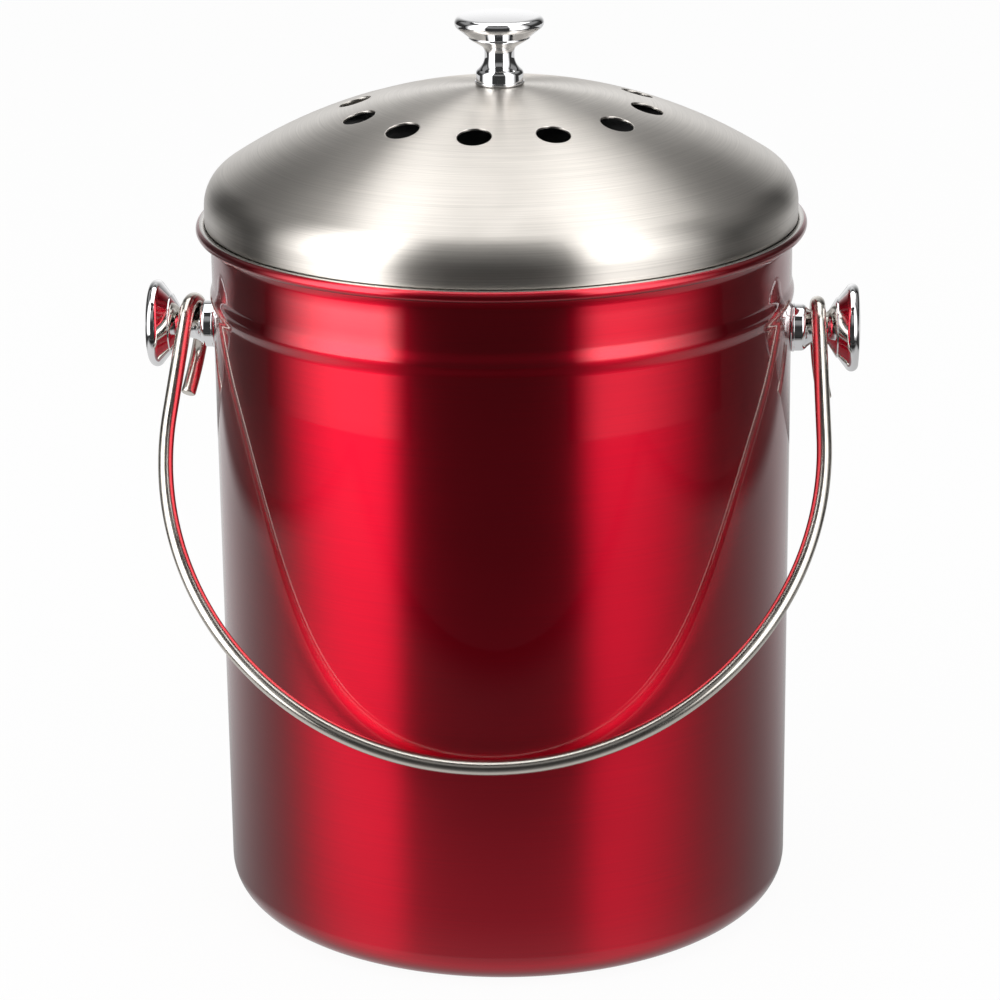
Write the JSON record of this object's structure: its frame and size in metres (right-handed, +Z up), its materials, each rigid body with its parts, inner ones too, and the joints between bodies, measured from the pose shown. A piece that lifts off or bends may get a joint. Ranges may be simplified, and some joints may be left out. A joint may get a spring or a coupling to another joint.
{
  "type": "compost caddy",
  "caption": "Countertop compost caddy: a rolled-rim steel bucket with a wire bail on side knobs and a vented lift-off dome lid that holds a charcoal filter.",
  "frame": {"origin": "middle of the underside of the bucket's base, on the surface that the caddy stands on", "axes": "+Z up along the bucket's axis, +X to the right along the bail's pivot axis, front at -Y where the bail rests"},
  "size_m": [0.2204, 0.1873, 0.28],
  "materials": {
    "bucket_lacquer": "clear red lacquer, glossy, over horizontally brushed steel",
    "lid_steel": "satin, brushed round the dome",
    "ring_steel": "satin, as drawn",
    "clip_steel": "satin spring steel",
    "bail_wire": "drawn wire, softly polished",
    "knob_chrome": "bright polished chrome",
    "fastener_steel": "zinc-plated, semi-bright",
    "retainer_plastic": "moulded, fine matte grain",
    "filter_carbon": "open felt loaded with activated carbon"
  },
  "bodies": {
    "pail": {"bucket": "bucket_lacquer", "left_pivot_knob": "knob_chrome", "left_pivot_screw": "fastener_steel", "left_pivot_washer": "fastener_steel", "left_lock_washer": "fastener_steel", "right_pivot_knob": "knob_chrome", "right_pivot_screw": "fastener_steel", "right_pivot_washer": "fastener_steel", "right_lock_washer": "fastener_steel"},
    "lid": {"lid_shell": "lid_steel", "lid_ring": "ring_steel", "lid_knob": "knob_chrome", "lid_knob_screw": "fastener_steel", "lid_knob_washer": "fastener_steel", "lid_knob_lock_washer": "fastener_steel", "charcoal_filter": "filter_carbon", "filter_retainer": "retainer_plastic", "filter_clips": "clip_steel"},
    "bail": {"bail_handle": "bail_wire"}
  },
  "joints": [
    {"name": "lid_lift", "type": "slide", "parent": "pail", "child": "lid", "axis": [0, 0, 1], "range_m": [0, 0.1]},
    {"name": "bail_swing", "type": "hinge", "parent": "pail", "child": "bail", "pos_m": [0, 0, 0.1829], "axis": [-1, 0, 0], "range_deg": [0, 280]}
  ]
}
